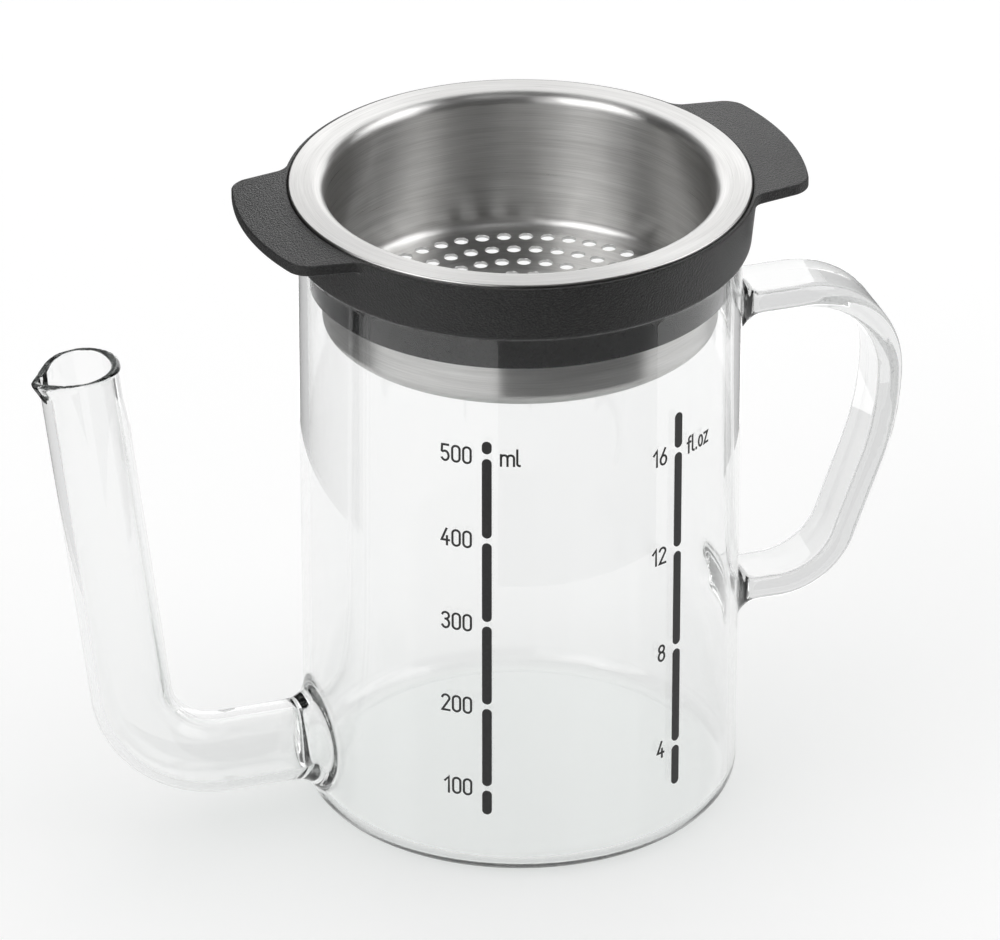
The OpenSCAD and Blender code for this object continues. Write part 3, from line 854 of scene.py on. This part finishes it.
# ---------------------------------------------------------------- collar
EAR_UNDER = COLLAR_TOP - EAR_T
DRAFT = (COLLAR_R - COLLAR_LOW_R) / (COLLAR_TOP - COLLAR_LIP_R - COLLAR_Z - COLLAR_EDGE_R)
WALL_R = COLLAR_R - DRAFT * (COLLAR_TOP - COLLAR_LIP_R - EAR_UNDER)      # the ring where the ears join it
HOLLOW_R, HOLLOW_H = 0.9, 1.0            # corner under an ear, and how far below it the ring's wall ends
TOP_EDGE, LOW_EDGE = 0.32, 0.36          # radius of the edge of collar and ears above, and of the ears below
TOP_IN_R = 45.1                          # where the flat top ends, beside the groove for the flange


def ear_field(x, y):
    """Distance in the plane to the collar's outline with both ears."""
    x, y = np.abs(x), np.abs(y)
    tip = np.hypot(x, y) - EAR_R
    tip_x = math.sqrt(EAR_R ** 2 - (EAR_W / 2) ** 2)
    side = (y - EAR_W / 2 - (tip_x - x) * math.tan(EAR_FLARE)) * math.cos(EAR_FLARE)
    ear = (np.minimum(-EAR_CORNER, np.maximum(tip, side))
           + np.hypot(np.maximum(EAR_CORNER + tip, 0), np.maximum(EAR_CORNER + side, 0)))
    ring = np.hypot(x, y) - COLLAR_R
    hollow = np.hypot(np.maximum(EAR_ROOT - ear, 0), np.maximum(EAR_ROOT - ring, 0))
    return np.maximum(EAR_ROOT, np.minimum(ear, ring)) - hollow


def collar_angles():
    """Angles round the collar, close together at the ears' roots and corners."""
    fine, coarse = ((0.22, 1.25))
    quarter = np.concatenate([np.arange(0, 17, coarse), np.arange(17, 32, fine), np.arange(32, 90, coarse)])
    angles = np.concatenate([quarter, 180 - quarter[::-1], 180 + quarter[1:], 360 - quarter[::-1][:-1]])
    return np.unique(np.round(np.radians(angles), 9))


def collar_edge(angles):
    """Radius, points and normals of the collar's outline in the plane."""
    low, high = np.full(len(angles), 44.0), np.full(len(angles), 58.0)
    for _ in range(40):
        mid = (low + high) / 2
        outside = ear_field(mid * np.cos(angles), mid * np.sin(angles)) > 0
        low, high = np.where(outside, low, mid), np.where(outside, mid, high)
    x, y = low * np.cos(angles), low * np.sin(angles)
    gx = ear_field(x + 0.01, y) - ear_field(x - 0.01, y)
    gy = ear_field(x, y + 0.01) - ear_field(x, y - 0.01)
    return low, np.stack([x, y], -1), np.stack([gx, gy], -1) / np.hypot(gx, gy)[:, None]


def collar_column(a, edge, normal, share, below, inside):
    """The collar's whole section at angle a. share is 0 where the ring stands alone and 1 at an ear."""
    ray = np.array([math.cos(a), math.sin(a)])
    hollow, low_r, wall = HOLLOW_R * share, LOW_EDGE * share, WALL_R * ray
    column = [(*(r * ray), z) for r, z in below]
    for t in np.radians((0, 30, 60, 90)):                          # hollow corner under the ear
        left = 1 - t / (math.pi / 2)
        ring_r = WALL_R - DRAFT * HOLLOW_H * (1 - (1 - share) * (1 - left))
        r = ring_r + hollow * (1 - math.cos(t))
        column.append((*(r * ray), EAR_UNDER - hollow * (1 - math.sin(t)) - (1 - share) * HOLLOW_H * left))
    low_edge = (edge - normal * low_r) * share + wall * (1 - share)
    for part in (0.33, 0.67):                                      # underside
        column.append((*((wall + hollow * ray) * (1 - part) + low_edge * part), EAR_UNDER))
    for t in np.radians((0, 22.5, 45, 67.5, 90)):                  # lower edge
        p = (edge - normal * low_r * (1 - math.sin(t))) * share + wall * (1 - share)
        column.append((*p, EAR_UNDER + low_r * (1 - math.cos(t))))
    for t in np.radians((0, 18, 36, 54, 72, 90)):                  # upper edge
        p = edge - normal * TOP_EDGE * (1 - math.cos(t))
        column.append((*p, COLLAR_TOP - TOP_EDGE * (1 - math.sin(t))))
    for part in (0.3, 0.65, 1.0):                                  # top
        column.append((*((edge - normal * TOP_EDGE) * (1 - part) + TOP_IN_R * ray * part), COLLAR_TOP))
    return column + [(*(r * ray), z) for r, z in inside]


def collar():
    """The ring with its two ears, built of columns round its outline."""
    bore_r, groove_r = TONGUE_R + TONGUE_GAP, FLANGE_R + FLANGE_GAP
    lip_r, seat_z = FLANGE_R - STEEL - FLANGE_GAP, FLANGE_TOP - STEEL - BOWL_GAP
    groove_z = FLANGE_TOP - FLANGE_EDGE_H - FLANGE_GAP
    lower = outline((bore_r, COLLAR_Z),
                    (COLLAR_LOW_R - COLLAR_EDGE_R, COLLAR_Z + COLLAR_EDGE_R, COLLAR_EDGE_R, -90, 0, 6),
                    (WALL_R - DRAFT * HOLLOW_H, EAR_UNDER - HOLLOW_H))
    inner = outline((groove_r, COLLAR_TOP - 0.15), (groove_r, groove_z), (lip_r, groove_z), (lip_r, seat_z),
                    (MID_R, MID_Z, ROUND_R - STEEL - BOWL_GAP, 90, 180, 6),
                    (BOWL_R + BOWL_GAP, TONGUE_TOP + TONGUE_GAP), (bore_r, TONGUE_TOP + TONGUE_GAP),
                    (bore_r, COLLAR_Z))
    below, inside = [s[0] for s in lower] + [lower[-1][1]], [s[0] for s in inner]
    angles = collar_angles()
    radii, edges, normals = collar_edge(angles)
    shares = smooth01((radii - COLLAR_R - 0.05) / 1.3)
    columns = [collar_column(a, edge, normal, share, below, inside)
               for a, edge, normal, share in zip(angles, edges, normals, shares)]
    n = len(columns[0])
    verts = np.array(columns).reshape(-1, 3)
    verts = np.stack([verts[:, 0] * math.cos(TURN) - verts[:, 1] * math.sin(TURN),
                      verts[:, 0] * math.sin(TURN) + verts[:, 1] * math.cos(TURN), verts[:, 2]], -1)
    faces = []
    for i in range(len(columns)):
        j = (i + 1) % len(columns)
        for k in range(n):
            m = (k + 1) % n
            faces.append((i * n + k, j * n + k, j * n + m, i * n + m))
    ob = new_mesh("collar", verts, faces)
    bm = bmesh.new()
    bm.from_mesh(ob.data)
    bmesh.ops.remove_doubles(bm, verts=bm.verts, dist=2e-6)
    bmesh.ops.dissolve_degenerate(bm, edges=bm.edges, dist=2e-6)
    bm.to_mesh(ob.data)
    bm.free()
    crisp(ob, 40)
    insert_piece(ob, COLLAR, "collar_ring")


sleeve()
bowl()
collar()
